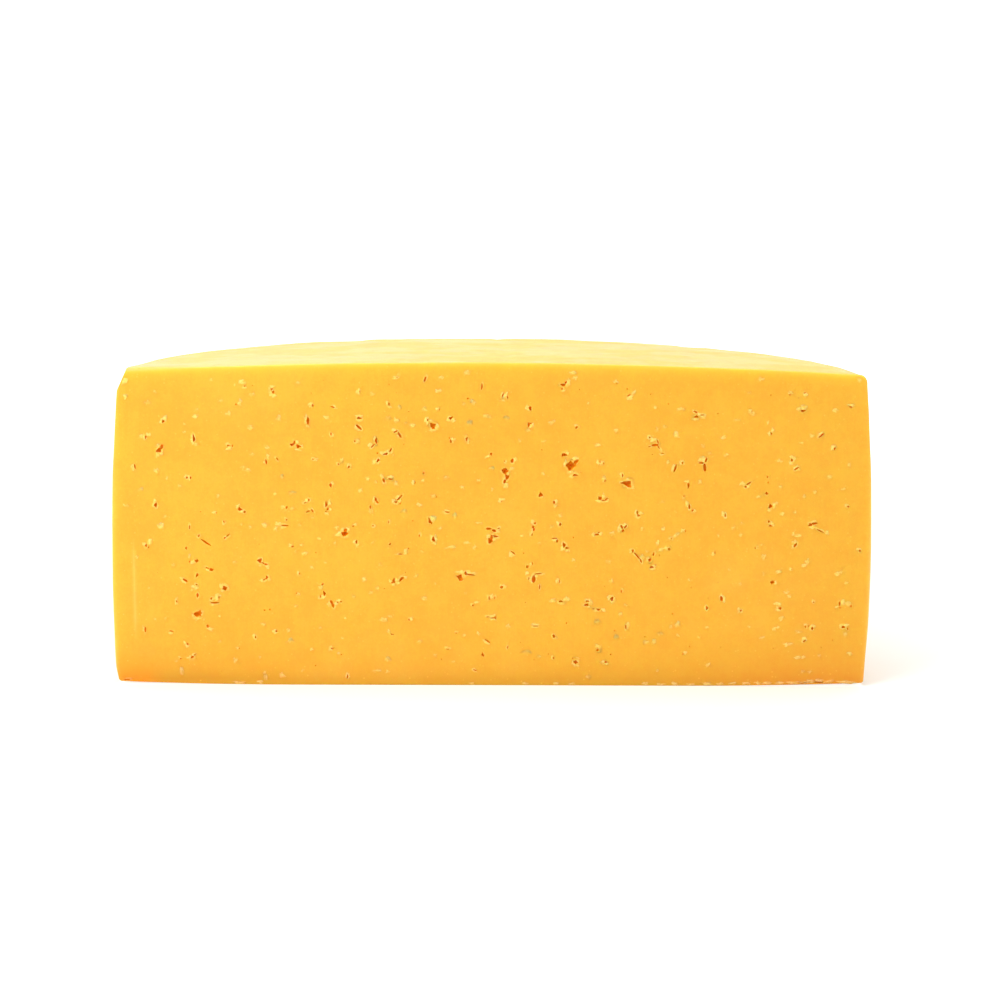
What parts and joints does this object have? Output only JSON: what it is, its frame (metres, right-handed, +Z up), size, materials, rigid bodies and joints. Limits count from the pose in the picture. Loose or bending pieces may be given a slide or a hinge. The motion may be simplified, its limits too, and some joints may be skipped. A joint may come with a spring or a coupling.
{
  "type": "half wheel of semi-hard cheese",
  "caption": "Half of a round semi-hard cheese wheel, cut straight across, with a flat face full of small irregular eyes and a curved rind.",
  "frame": {"origin": "under the middle of the piece's bounding box, on the surface it stands on", "axes": "+Z up, X along the flat cut face, the cut face looks along -Y and the curved rind is towards +Y"},
  "size_m": [0.2734, 0.1368, 0.118],
  "materials": {
    "cheese": "satin"
  },
  "bodies": {
    "root": {"cheese_half_wheel": "cheese"}
  },
  "joints": []
}
